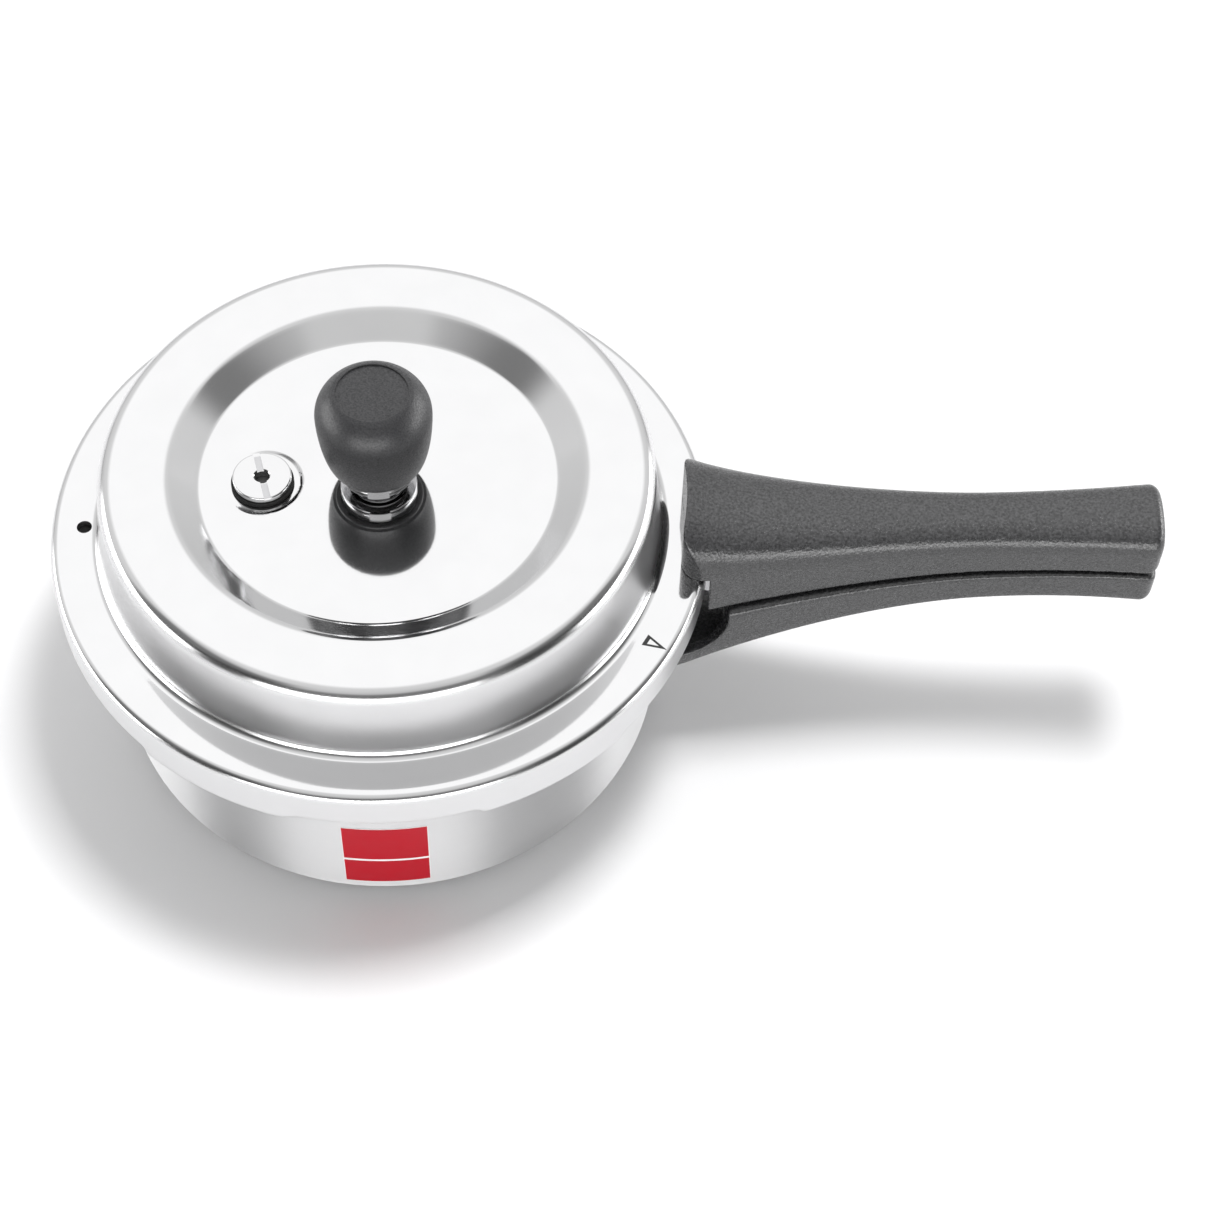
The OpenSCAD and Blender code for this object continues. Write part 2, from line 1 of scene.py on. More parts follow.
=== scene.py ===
"""Looks of a stovetop pressure cooker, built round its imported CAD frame.

Lengths are in millimetres until a mesh is made, and angles are in degrees. Sections are lists of
(radius, height) or (across, height) points. Azimuth 0 is +X, where the handles point.
"""

import math

import bmesh
import bpy
from mathutils import Matrix, Vector


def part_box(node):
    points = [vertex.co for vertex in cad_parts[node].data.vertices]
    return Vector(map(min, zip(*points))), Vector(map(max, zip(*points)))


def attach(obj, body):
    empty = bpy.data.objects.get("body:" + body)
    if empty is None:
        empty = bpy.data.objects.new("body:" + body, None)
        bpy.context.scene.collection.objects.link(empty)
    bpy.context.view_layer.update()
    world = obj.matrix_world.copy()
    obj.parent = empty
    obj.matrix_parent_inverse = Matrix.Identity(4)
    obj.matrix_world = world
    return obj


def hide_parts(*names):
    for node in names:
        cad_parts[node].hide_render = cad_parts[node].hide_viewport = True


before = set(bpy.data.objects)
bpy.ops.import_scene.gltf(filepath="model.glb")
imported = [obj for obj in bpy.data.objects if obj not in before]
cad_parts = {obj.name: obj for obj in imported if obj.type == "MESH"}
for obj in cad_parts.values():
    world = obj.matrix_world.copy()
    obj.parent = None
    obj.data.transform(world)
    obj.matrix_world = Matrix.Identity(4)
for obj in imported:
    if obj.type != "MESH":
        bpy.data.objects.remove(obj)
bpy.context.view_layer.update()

MM = 0.001
ON_AXIS = 1e-6             # a point nearer the axis than this lies on it

# How finely the meshes are made
SMOOTH_ANGLE = 35          # edges sharper than this stay sharp
ROUND = 480                # steps round the lid and the pan
SMALL_ROUND = 128          # steps round the small turned pieces
WIDE_CUTTER_ROUND = 720    # steps round the cutters as wide as the lid
SIDE_CUTTER_ROUND = 96
HOLE_ROUND = 64
POCKET_ROUND = 30
SECTOR_STEP = 0.75         # degrees between the sections of part of a ring
EDGE_STEP = 15             # degrees between the points of a small rounded edge
MOULD_SMOOTH_ANGLE = 80    # takes the place of SMOOTH_ANGLE on a moulding
MOULD_VOXEL = 0.45
MOULD_RELAX = 0.5
MOULD_RELAX_ROUNDS = 3

# Sizes of the sheet-metal work
SHEET = 2.4
SKIRT_DROP = 13.5
RING_RISE = 28
DISC_RISE = 20.8           # its edge
DISC_BULGE = 1.4           # its middle above its edge
DISC_FLAT_R = 10
DISC_R = 55
FOOT_R = 92.2
WALL_DRAFT = 6
SLOPE_ANGLE = 36
SLOPE_FOOT_FILLET = 3
SLOPE_TOP_FILLET = 6
SHOULDER_FILLET = 5.5
FOOT_FILLET = 3
EDGE_FILLET = 3
LUG_COUNT = 6
LUG_SPAN = 28
LUG_MID = 4.5
PAN_R = 90
PAN_WALL = 3
PAN_FLOOR = 4
RIM_OUT_R = 94.8
RIM_T = 3.2
BRACKET_T = 2


# ---------- Points ----------

def node_box(node):
    """Lowest and highest corner of a CAD node, in millimetres."""
    low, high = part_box(node)
    return low / MM, high / MM


def node_centre(node):
    """Middle of a CAD node, seen from above."""
    low, high = node_box(node)
    return (low.x + high.x) / 2, (low.y + high.y) / 2


def arc(x, z, radius, start, end, step=6):
    """Points along an arc about (x, z), from angle start to angle end."""
    count = max(2, math.ceil(abs(end - start) / step))
    angles = [math.radians(start + (end - start) * i / count) for i in range(count + 1)]
    return [(x + radius * math.cos(a), z + radius * math.sin(a)) for a in angles]


def circle(x, y, radius, steps):
    return arc(x, y, radius, 0, 360, 360 / steps)[:-1]


def between(start, end, count):
    """count points spread evenly between two points, without either of them."""
    return [tuple(a + (b - a) * i / (count + 1) for a, b in zip(start, end))
            for i in range(1, count + 1)]


def refine(points, longest):
    """The same outline, with no stretch longer than longest."""
    fine = [points[0]]
    for start, end in zip(points, points[1:]):
        fine += between(start, end, math.ceil(math.dist(start, end) / longest) - 1)
        fine.append(end)
    return fine


def ease(t):
    """0 below 0, 1 above 1, and a smooth step from one to the other."""
    t = min(1, max(0, t))
    return t * t * (3 - 2 * t)


def mix(first, second, share):
    """Two outlines of equal length, blended point by point."""
    return [tuple(a + (b - a) * share for a, b in zip(p, q)) for p, q in zip(first, second)]


# ---------- Meshes ----------

def finish_mesh(name, points, faces, material):
    """An object from points in millimetres, shaded smooth except at sharp edges."""
    mesh = bpy.data.meshes.new(name)
    mesh.from_pydata([(x * MM, y * MM, z * MM) for x, y, z in points], [], faces)
    shape = bmesh.new()
    shape.from_mesh(mesh)
    bmesh.ops.recalc_face_normals(shape, faces=shape.faces)
    shape.to_mesh(mesh)
    shape.free()
    mesh.shade_smooth()
    mesh.set_sharp_from_angle(angle=math.radians(SMOOTH_ANGLE))
    mesh.materials.append(material)
    piece = bpy.data.objects.new(name, mesh)
    bpy.context.scene.collection.objects.link(piece)
    return piece


def lathe(name, section_at, material, steps=SMALL_ROUND, centre=(0, 0), ring=False):
    """A turned piece. section_at(azimuth) gives the section at that azimuth. An open section
    starts and ends on the axis; a ring's section closes on itself."""
    points, faces, rings = [], [], []
    for i in range(steps):
        azimuth = 360 * i / steps
        c, s = math.cos(math.radians(azimuth)), math.sin(math.radians(azimuth))
        row = []
        for k, (r, z) in enumerate(section_at(azimuth)):
            if abs(r) < ON_AXIS and i > 0:
                row.append(rings[0][k])
                continue
            row.append(len(points))
            points.append((centre[0] + r * c, centre[1] + r * s, z))
        rings.append(row)
    for i in range(steps):
        here, after = rings[i], rings[(i + 1) % steps]
        count = len(here)
        for k in range(count if ring else count - 1):
            corners = [here[k], after[k], after[(k + 1) % count], here[(k + 1) % count]]
            face = list(dict.fromkeys(corners))
            if len(face) > 2:
                faces.append(face)
    return finish_mesh(name, points, faces, material)


def turned(name, section, material, **options):
    """A turned piece with the same section all the way round."""
    return lathe(name, lambda azimuth: section, material, **options)


def loft(name, sections, material):
    """A closed skin over sections of equally many 3-D points."""
    size = len(sections[0])
    points = [p for section in sections for p in section]
    faces = []
    for i in range(len(sections) - 1):
        for k in range(size):
            n = (k + 1) % size
            faces.append([i * size + k, (i + 1) * size + k, (i + 1) * size + n, i * size + n])
    faces.append(list(range(size)))
    faces.append([(len(sections) - 1) * size + k for k in reversed(range(size))])
    return finish_mesh(name, points, faces, material)


def sector(name, section, mid, span, material):
    """Part of a ring: a closed section swept over an angle, with flat ends."""
    count = math.ceil(span / SECTOR_STEP)
    sections = []
    for i in range(count + 1):
        angle = math.radians(mid - span / 2 + span * i / count)
        sections.append([(r * math.cos(angle), r * math.sin(angle), z) for r, z in section])
    return loft(name, sections, material)


def cutter_material():
    return bpy.data.materials.get("cutter") or bpy.data.materials.new("cutter")


def prism(outline, low, high):
    """A straight cutter over a plan outline, for cut()."""
    count = len(outline)
    points = [(x, y, low) for x, y in outline] + [(x, y, high) for x, y in outline]
    faces = [[k, (k + 1) % count, count + (k + 1) % count, count + k] for k in range(count)]
    faces.append(list(reversed(range(count))))
    faces.append([count + k for k in range(count)])
    return finish_mesh("cutter", points, faces, cutter_material())


def box_cutter(low, high):
    outline = [(low[0], low[1]), (high[0], low[1]), (high[0], high[1]), (low[0], high[1])]
    return prism(outline, low[2], high[2])


def round_cutter(x, y, radius, low, high, steps=HOLE_ROUND):
    return prism(circle(x, y, radius, steps), low, high)


def side_cutter(x, z, radius, reach):
    """A cylinder that lies along Y."""
    rim = circle(x, z, radius, SIDE_CUTTER_ROUND)
    ends = [[(px, y, pz) for px, pz in rim] for y in (-reach, reach)]
    return loft("cutter", ends, cutter_material())


def bake(piece, smooth=SMOOTH_ANGLE):
    """Puts the result of a piece's modifiers into its mesh."""
    material = piece.material_slots[0].material
    graph = bpy.context.evaluated_depsgraph_get()
    mesh = bpy.data.meshes.new_from_object(piece.evaluated_get(graph))
    piece.modifiers.clear()
    old = piece.data
    piece.data = mesh
    bpy.data.meshes.remove(old)
    mesh.name = piece.name
    mesh.materials.clear()
    mesh.materials.append(material)
    mesh.polygons.foreach_set("material_index", [0] * len(mesh.polygons))
    mesh.shade_smooth()
    mesh.set_sharp_from_angle(angle=math.radians(smooth))
    return piece


def cut(piece, cutters):
    """Takes the cutters' shapes out of a piece, and removes the cutters."""
    for cutter in cutters:
        modifier = piece.modifiers.new("cut", "BOOLEAN")
        modifier.operation = "DIFFERENCE"
        modifier.solver = "EXACT"
        modifier.object = cutter
    bake(piece)
    for cutter in cutters:
        mesh = cutter.data
        bpy.data.objects.remove(cutter)
        bpy.data.meshes.remove(mesh)


def soften(piece):
    """Remeshes a piece finely and rounds its edges, as a moulding's are."""
    remesh = piece.modifiers.new("remesh", "REMESH")
    remesh.mode = "VOXEL"
    remesh.voxel_size = MOULD_VOXEL * MM
    relax = piece.modifiers.new("relax", "SMOOTH")
    relax.factor = MOULD_RELAX
    relax.iterations = MOULD_RELAX_ROUNDS
    return bake(piece, smooth=MOULD_SMOOTH_ANGLE)


def show(piece, body, slot, *nodes):
    """Makes a piece ride on its body, and stand for its CAD nodes."""
    if nodes:
        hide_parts(*nodes)
    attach(piece, body)


# ---------- Materials ----------

NOISE_LOW, NOISE_HIGH = 0.3, 0.7   # nearly all of a noise's values lie between these
CLOUD = 14                         # size of the clouds in a metal's gloss
CLOUD_DARK = 0.975                 # their darkest share of the metal's colour
MARK_DRAWN = 0.002                 # metres that one radian along a turning mark counts as
METAL_DETAIL = 3
METAL_DEPTH = 0.02
WALL_LIE, FLAT_LIE = 0.3, 0.995    # vertical share of the normal on a wall and on a flat face
QUARTER_TURN = 0.25                # stretches highlights across the turning marks
BROAD_GRAIN = 3                    # size of a plastic's broad grain against its fine grain
BROAD_STRENGTH, FINE_STRENGTH = 0.3, 0.9
GRAIN_GLOSS = 0.1                  # how far the grain moves the roughness each way


class Shader:
    """A material with one Principled shader and short ways to add nodes to it."""

    def __init__(self, name, **sockets):
        self.material = bpy.data.materials.new(name)
        self.material.use_nodes = True
        self.tree = self.material.node_tree
        self.surface = next(n for n in self.tree.nodes if n.type == "BSDF_PRINCIPLED")
        for socket, value in sockets.items():
            self.surface.inputs[socket.replace("_", " ")].default_value = value
        self.place = self.tree.nodes.new("ShaderNodeTexCoord").outputs["Object"]

    def node(self, kind, links=(), inputs=(), **settings):
        return add_node(self.tree, kind, links, inputs, **settings)

    def noise(self, size, detail=2, vector=None):
        """Noise whose lumps are about size millimetres across."""
        made = self.node("TexNoise", {"Vector": vector or self.place},
                         {"Scale": 1 / (size * MM), "Detail": detail})
        return made.outputs["Fac"]

    def spread(self, noise, low, high):
        """A noise's values, spread from low to high."""
        made = self.node("MapRange", {"Value": noise}, {"From Min": NOISE_LOW, "From Max": NOISE_HIGH,
                                                        "To Min": low, "To Max": high})
        return made.outputs["Result"]

    def turned_place(self):
        """Coordinates that follow turning marks: fine across them and drawn out along them."""
        flat = self.node("VectorMath", {0: self.place}, {1: (1, 1, 0)}, operation="MULTIPLY")
        radius = self.node("VectorMath", {0: flat.outputs[0]}, operation="LENGTH")
        apart = self.node("SeparateXYZ", {0: self.place})
        angle = self.node("Math", {0: apart.outputs["Y"], 1: apart.outputs["X"]}, operation="ARCTAN2")
        drawn = self.node("Math", {0: angle.outputs[0]}, {1: MARK_DRAWN}, operation="MULTIPLY")
        made = self.node("CombineXYZ", {"X": radius.outputs["Value"], "Y": apart.outputs["Z"],
                                        "Z": drawn.outputs[0]})
        return made.outputs[0]

    def bump(self, height, strength, distance, normal=None):
        links = {"Height": height}
        if normal:
            links["Normal"] = normal
        made = self.node("Bump", links, {"Strength": strength, "Distance": distance * MM})
        return made.outputs["Normal"]

    def set(self, socket, output):
        self.tree.links.new(output, self.surface.inputs[socket])

    def tint(self, noise, dark, light):
        """Colours the surface from dark to light by a noise's values."""
        ramp = self.node("ValToRGB", {"Fac": noise})
        stops = ramp.color_ramp.elements
        for stop, place, colour in zip(stops, (NOISE_LOW, NOISE_HIGH), (dark, light)):
            stop.position = place
            stop.color = (*colour, 1)
        self.set("Base Color", ramp.outputs["Color"])


def add_node(tree, kind, links=(), inputs=(), **settings):
    """A shader node with its settings, the values of its sockets, and links from other nodes."""
    made = tree.nodes.new("ShaderNode" + kind)
    for key, value in settings.items():
        setattr(made, key, value)
    for key, value in dict(inputs).items():
        made.inputs[key].default_value = value
    for key, output in dict(links).items():
        tree.links.new(output, made.inputs[key])
    return made


def metal(name, colour, rough, swing, mark, marks=0.03, anisotropy=0.0, wall_rough=0.0):
    """Polished or turned metal: cloudy gloss, faint marks that run round the axis. wall_rough
    is added where the surface stands upright, because the buffing wheel reaches that less."""
    s = Shader(name, Metallic=1.0, Anisotropic=anisotropy, Anisotropic_Rotation=QUARTER_TURN)
    cloud = s.noise(CLOUD, METAL_DETAIL)
    s.tint(cloud, [c * CLOUD_DARK for c in colour], colour)
    lines = s.noise(mark, METAL_DETAIL, s.turned_place())
    both = s.node("Math", {0: cloud, 1: lines}, operation="ADD")
    mean = s.node("Math", {0: both.outputs[0]}, {1: 0.5}, operation="MULTIPLY")
    gloss = s.spread(mean.outputs[0], rough - swing, rough + swing)
    if wall_rough:
        facing = s.node("SeparateXYZ", {0: s.node("NewGeometry").outputs["Normal"]})
        lie = s.node("Math", {0: facing.outputs["Z"]}, operation="ABSOLUTE")
        wall = s.node("MapRange", {"Value": lie.outputs[0]}, {"From Min": WALL_LIE, "From Max": FLAT_LIE,
                                                             "To Min": wall_rough, "To Max": 0.0})
        gloss = s.node("Math", {0: gloss, 1: wall.outputs["Result"]}, operation="ADD").outputs[0]
    s.set("Roughness", gloss)
    s.set("Normal", s.bump(lines, marks, METAL_DEPTH))
    if anisotropy:
        s.set("Tangent", s.node("Tangent", direction_type="RADIAL", axis="Z").outputs[0])
    return s.material


def grained_plastic(name, dark, light, rough, grain, depth, gloss):
    """Moulded phenolic with a sparkling grain."""
    s = Shader(name, Specular_IOR_Level=gloss)
    fine = s.noise(grain)
    broad = s.noise(grain * BROAD_GRAIN)
    s.tint(fine, dark, light)
    s.set("Roughness", s.spread(fine, rough + GRAIN_GLOSS, rough - GRAIN_GLOSS))
    under = s.bump(broad, BROAD_STRENGTH, depth)
    s.set("Normal", s.bump(fine, FINE_STRENGTH, depth, under))
    return s.material


def rubber():
    s = Shader("black_rubber", Specular_IOR_Level=0.35)
    fine = s.noise(size=0.5)
    s.tint(fine, dark=(0.006, 0.006, 0.006), light=(0.014, 0.014, 0.014))
    s.set("Roughness", s.spread(fine, low=0.5, high=0.7))
    s.set("Normal", s.bump(fine, strength=0.2, distance=0.03))
    return s.material


def film(name, colour):
    """Printed label film with a faint unevenness in its ink."""
    ink_dark = 0.96
    s = Shader(name, Specular_IOR_Level=0.25)
    cloud = s.noise(size=6)
    s.tint(cloud, [c * ink_dark for c in colour], colour)
    s.set("Roughness", s.spread(cloud, low=0.42, high=0.5))
    s.set("Normal", s.bump(s.noise(size=1.5), strength=0.04, distance=0.02))
    return s.material


def paper_floor():
    s = Shader("pale_floor", Specular_IOR_Level=0.1)
    s.tint(s.noise(size=400), dark=(0.7, 0.7, 0.705), light=(0.71, 0.71, 0.715))
    s.set("Roughness", s.spread(s.noise(size=2), low=0.7, high=0.8))
    return s.material


MIRROR = metal("polished_aluminium", (0.73, 0.73, 0.735), rough=0.06, swing=0.015, mark=0.5,
               wall_rough=0.24)
SATIN = metal("spun_aluminium", (0.7, 0.7, 0.705), rough=0.56, swing=0.04, mark=0.35, marks=0.06,
              anisotropy=0.95)
STEEL = metal("polished_steel", (0.72, 0.72, 0.725), rough=0.12, swing=0.04, mark=0.4)
ZINC = metal("zinc_steel", (0.58, 0.58, 0.59), rough=0.32, swing=0.06, mark=0.4)
ALLOY = metal("fusible_metal", (0.12, 0.12, 0.12), rough=0.5, swing=0.06, mark=0.4)
HANDLE = grained_plastic("grained_bakelite", (0.004, 0.004, 0.0045), (0.045, 0.045, 0.047),
                         rough=0.27, grain=0.8, depth=0.17, gloss=0.8)
KNOB = grained_plastic("black_bakelite", (0.008, 0.008, 0.009), (0.03, 0.03, 0.032),
                       rough=0.4, grain=0.5, depth=0.07, gloss=0.6)
RUBBER = rubber()
RED = film("red_label", (0.44, 0.0, 0.011))
PALE = film("pale_rule", (0.85, 0.83, 0.83))
INK = film("engraved_line", (0.03, 0.03, 0.03))


# ---------- Lid ----------

lid_low, lid_high = node_box("lid_shell")
LID_R = lid_high.x
FLANGE_Z = lid_high.z - RING_RISE
DISC_EDGE_Z = FLANGE_Z + DISC_RISE
DISC_Z = DISC_EDGE_Z + DISC_BULGE
LUG_Z = lid_low.z
SKIRT_Z = FLANGE_Z - SKIRT_DROP
LUG_T = 2.3
LUG_IN_R = 95.5
LID_LUG_STEPS = (1.4, 3.4)         # degrees that each end of a lug takes to rise
PAN_LUG_STEPS = (1.2, 1.2)
DIMPLE_FLAT_R, DIMPLE_EDGE_R, DIMPLE_DEPTH = 11.6, 12.8, 1.1
DIMPLE_REACH = DISC_R - 5
SIGHT_AT = 184.6
SIGHT_FROM_AXIS, SIGHT_R = 94.2, 2.4
ARROW_AT = -27.1
ARROW_TIP_R, ARROW_BASE_R, ARROW_HALF = 102.9, 95.4, 2.2
ARROW_HOLLOW = 0.5                 # how far in from its middle the outline starts
ARROW_SUNK, ARROW_PROUD = -0.2, 0.06


def lug_share(azimuth, start_step, end_step):
    """1 on a lug, 0 in a gap, and a smooth step at each end of a lug."""
    pitch = 360 / LUG_COUNT
    off = (azimuth - LUG_MID + pitch / 2) % pitch - pitch / 2
    rise = ease((off + LUG_SPAN / 2) / start_step + 0.5)
    fall = ease((LUG_SPAN / 2 - off) / end_step + 0.5)
    return rise * fall


def lid_face(t):
    """The lid's outer face from the axis to the skirt, or its inner face t below it."""
    slope = math.radians(SLOPE_ANGLE)
    slope_run = (SLOPE_FOOT_FILLET + SLOPE_TOP_FILLET) * math.tan(slope / 2)
    slope_run += (RING_RISE - DISC_RISE) / math.tan(slope)
    run = DISC_R - DISC_FLAT_R
    bend_r = (run * run + DISC_BULGE * DISC_BULGE) / (2 * DISC_BULGE)
    bend = math.degrees(math.asin(run / bend_r))
    lean = math.radians(WALL_DRAFT)
    fillets = SHOULDER_FILLET + FOOT_FILLET
    rise = RING_RISE - fillets * (1 - math.sin(lean))
    shoulder_r = FOOT_R - rise * math.tan(lean) - fillets * math.cos(lean)
    ring_z = FLANGE_Z + RING_RISE
    points = [(0, DISC_Z - t)]
    points += arc(DISC_FLAT_R, DISC_Z - bend_r, bend_r - t, 90, 90 - bend, step=0.1)
    points += arc(DISC_R, DISC_EDGE_Z + SLOPE_FOOT_FILLET, SLOPE_FOOT_FILLET + t,
                  -90, SLOPE_ANGLE - 90, step=4)[1:]
    points += arc(DISC_R + slope_run, ring_z - SLOPE_TOP_FILLET, SLOPE_TOP_FILLET - t,
                  90 + SLOPE_ANGLE, 90, step=4)
    points += arc(shoulder_r, ring_z - SHOULDER_FILLET, SHOULDER_FILLET - t, 90, WALL_DRAFT, step=5)
    points += arc(FOOT_R, FLANGE_Z + FOOT_FILLET, FOOT_FILLET + t, 180 + WALL_DRAFT, 270, step=5)
    points += arc(LID_R - EDGE_FILLET, FLANGE_Z - EDGE_FILLET, EDGE_FILLET - t, 90, 0)
    return refine(points, 1.0)


def lid_lip(lug):
    """The skirt's lower edge from outside to inside: turned in under a lug, or plain."""
    inner_r = LID_R - SHEET
    flat_points = 5
    if lug:
        curl, nose = 2.2, 0.8
        lip = arc(LID_R - curl, LUG_Z + curl, curl, 0, -90, step=9)
        lip += between((LID_R - curl, LUG_Z), (LUG_IN_R + nose, LUG_Z), flat_points)
        lip += arc(LUG_IN_R + nose, LUG_Z + nose, nose, 270, 180, step=18)
        lip += arc(LUG_IN_R + nose, LUG_Z + LUG_T - nose, nose, 180, 90, step=18)
        start, top = (LUG_IN_R + nose, LUG_Z + LUG_T), (inner_r, LUG_Z + LUG_T)
    else:
        edge = 0.9
        lip = arc(LID_R - edge, SKIRT_Z + edge, edge, 0, -90, step=9)
        lip += between((LID_R - edge, SKIRT_Z), (inner_r + edge, SKIRT_Z), flat_points)
        lip += arc(inner_r + edge, SKIRT_Z + edge, edge, 270, 225, step=9)
        lip += arc(inner_r + edge, SKIRT_Z + edge, edge, 225, 180, step=9)
        start, top = (inner_r, SKIRT_Z + edge), (inner_r, SKIRT_Z + 2 * edge)
    return lip + between(start, top, flat_points) + [top]


def dimpled(r, z, azimuth, plug):
    """A height on the disc, pressed down flat round the safety plug."""
    is_inner = z < DISC_Z - SHEET + 0.1
    floor_z = DISC_Z - DIMPLE_DEPTH - (SHEET if is_inner else 0)
    angle = math.radians(azimuth)
    away = math.dist((r * math.cos(angle), r * math.sin(angle)), plug)
    return z + (floor_z - z) * ease((DIMPLE_EDGE_R - away) / (DIMPLE_EDGE_R - DIMPLE_FLAT_R))


def lid_shell():
    outer = lid_face(0)
    inner = list(reversed(lid_face(SHEET)))
    lips = [lid_lip(False), lid_lip(True)]
    plug = node_centre("safety_plug")
    skirt_points = 8

    def section(azimuth):
        lip = mix(*lips, lug_share(azimuth, *LID_LUG_STEPS))
        skirt = between(outer[-1], lip[0], skirt_points)
        rise = between(lip[-1], inner[0], skirt_points)
        whole = outer + skirt + lip + rise + inner
        return [(r, dimpled(r, z, azimuth, plug)) if r < DIMPLE_REACH else (r, z) for r, z in whole]

    piece = lathe("lid_shell_polished", section, MIRROR, steps=ROUND)
    sight = math.radians(SIGHT_AT)
    hole = round_cutter(SIGHT_FROM_AXIS * math.cos(sight), SIGHT_FROM_AXIS * math.sin(sight), SIGHT_R,
                        FLANGE_Z - SHEET - 1, FLANGE_Z + 1)
    cut(piece, [hole])
    show(piece, "lid", "polished_aluminium", "lid_shell")


def arrow_mark():
    """A plain outlined triangle that points out over the flange's edge."""
    turn = Matrix.Rotation(math.radians(ARROW_AT), 2)
    corners = [tuple(turn @ Vector(p)) for p in ((ARROW_TIP_R, 0), (ARROW_BASE_R, ARROW_HALF),
                                                (ARROW_BASE_R, -ARROW_HALF))]
    centre = [sum(p[k] for p in corners) / 3 for k in (0, 1)]
    inner = [tuple(centre[k] + (p[k] - centre[k]) * ARROW_HOLLOW for k in (0, 1)) for p in corners]
    points = [(x, y, FLANGE_Z + lift) for lift in (ARROW_SUNK, ARROW_PROUD) for x, y in corners + inner]
    faces = []
    for k in range(3):
        n = (k + 1) % 3
        faces += [[6 + k, 6 + n, 9 + n, 9 + k], [k, 3 + k, 3 + n, n],
                  [k, n, 6 + n, 6 + k], [3 + k, 9 + k, 9 + n, 3 + n]]
    piece = finish_mesh("arrow_mark", points, faces, INK)
    show(piece, "lid", "polished_aluminium")


def gasket():
    low, high = node_box("gasket")
    in_r, out_r, edge = 89, high.x, 1
    groove_z = (low.z + high.z) / 2 + 0.1
    groove_half, groove_depth = 0.9, 2
    section = arc(out_r - edge, high.z - edge, edge, 0, 90, EDGE_STEP)
    section += arc(in_r + edge, high.z - edge, edge, 90, 180, EDGE_STEP)
    section += [(in_r, groove_z + groove_half), (in_r + groove_depth, groove_z),
                (in_r, groove_z - groove_half)]
    section += arc(in_r + edge, low.z + edge, edge, 180, 270, EDGE_STEP)
    section += arc(out_r - edge, low.z + edge, edge, 270, 360, EDGE_STEP)
    piece = turned("gasket_ring", refine(section, 1.5), RUBBER, steps=ROUND // 2, ring=True)
    show(piece, "gasket", "black_rubber", "gasket")


# ---------- Pan ----------

def pan_shell():
    rim_z = node_box("pan_body")[1].z
    under = rim_z - RIM_T
    inner_r = PAN_R - PAN_WALL
    corner, neck, edge, nose = 9, 1.5, 0.8, 0.7
    lug_r, lip_drop, lip_half, lip_w = 101.6, 1.4, 0.8, 1.6
    inner_corner = corner - 1
    wall = [(0, 0)] + arc(PAN_R - corner, corner, corner, -90, 0)
    wall = refine(wall + arc(PAN_R + neck, under - neck, neck, 180, 90, EDGE_STEP), 1.5)
    inside = arc(inner_r + neck, rim_z - neck, neck, 90, 180, EDGE_STEP)
    inside += arc(inner_r - inner_corner, PAN_FLOOR + inner_corner, inner_corner, 0, -90)
    inside = refine(inside + [(0, PAN_FLOOR)], 1.5)
    plain = between(wall[-1], (RIM_OUT_R - edge, under), 4)
    plain += arc(RIM_OUT_R - edge, under + edge, edge, -90, 0, EDGE_STEP)
    plain += arc(RIM_OUT_R - edge, rim_z - edge, edge, 0, 90, EDGE_STEP)
    lug = [(RIM_OUT_R - 0.4, under), (lug_r - lip_w - 2 * lip_half, under),
           (lug_r - lip_w - lip_half, under - lip_drop), (lug_r - lip_w, under - lip_drop)]
    lug += arc(lug_r - nose, under - lip_drop + nose, nose, -90, 0, EDGE_STEP)
    lug += arc(lug_r - edge, rim_z - edge, edge, 0, 90, EDGE_STEP)

    def section(azimuth):
        rim = mix(plain, lug, lug_share(azimuth, *PAN_LUG_STEPS))
        top = between(rim[-1], inside[0], 4)
        return wall + rim + top + inside

    piece = lathe("pan_shell_spun", section, SATIN, steps=ROUND)
    show(piece, "pan", "polished_aluminium", "pan_body")


def front_label():
    """A plain red label in two fields, with a pale rule between them and a pale edge."""
    low, high = node_box("front_label")
    mid, span = -86.5, 17.5
    rule_z, rule_h = 23.8, 1.1
    in_r, red_r = PAN_R + 0.03, PAN_R + 0.24
    edge, red_lift, border, side_border = 0.06, 0.06, 0.2, 0.3

    def plate(name, out_r, z_low, z_high, width, material):
        section = [(in_r, z_low), (out_r - edge, z_low), (out_r, z_low + edge),
                   (out_r, z_high - edge), (out_r - edge, z_high), (in_r, z_high)]
        return sector(name, section, mid, width, material)

    pale = plate("label_rule", red_r - red_lift, low.z, high.z, span, PALE)
    show(pale, "pan", "red_label", "front_label")
    for name, z_low, z_high in (("label_lower_field", low.z + border, rule_z - rule_h / 2),
                                ("label_upper_field", rule_z + rule_h / 2, high.z - border)):
        field = plate(name, red_r, z_low, z_high, span - side_border, RED)
        show(field, "pan", "red_label")


# ---------- Handles ----------

END_X = node_box("lid_handle")[1].x
GAP_LINE = [(97, -18.2), (184, -0.9), (END_X, 2.4)]
TOP_LINE = [(92, 20), (117.9, 4.8), (END_X, 19.2)]
UNDER_LINE = [(88, -51.2), (161.9, -11.8), (END_X, -13)]
LID_HANDLE_START, PAN_HANDLE_START = 94, 88.4
WAIST_X, ROOT_X = 190, 98
ROOT_W, WAIST_W, END_W = 21.5, 11.2, 13.7
TAPER_POWER = 1.6
HANDLE_GAP = 1.4
PAN_ROOT_EXTRA, PAN_END_EXTRA = 2.2, 0.4
HANDLE_FRONT = 96.7
FRONT_ROUND = 7
END_ROUND = 4
END_LEAN = 0.6             # share of END_ROUND on the faces along the gap between the handles
SECTION_POINTS = 112
STATIONS = 90
END_STATION_STEP = 9
LID_GAP = 1.8              # room between the upper handle and the skirt

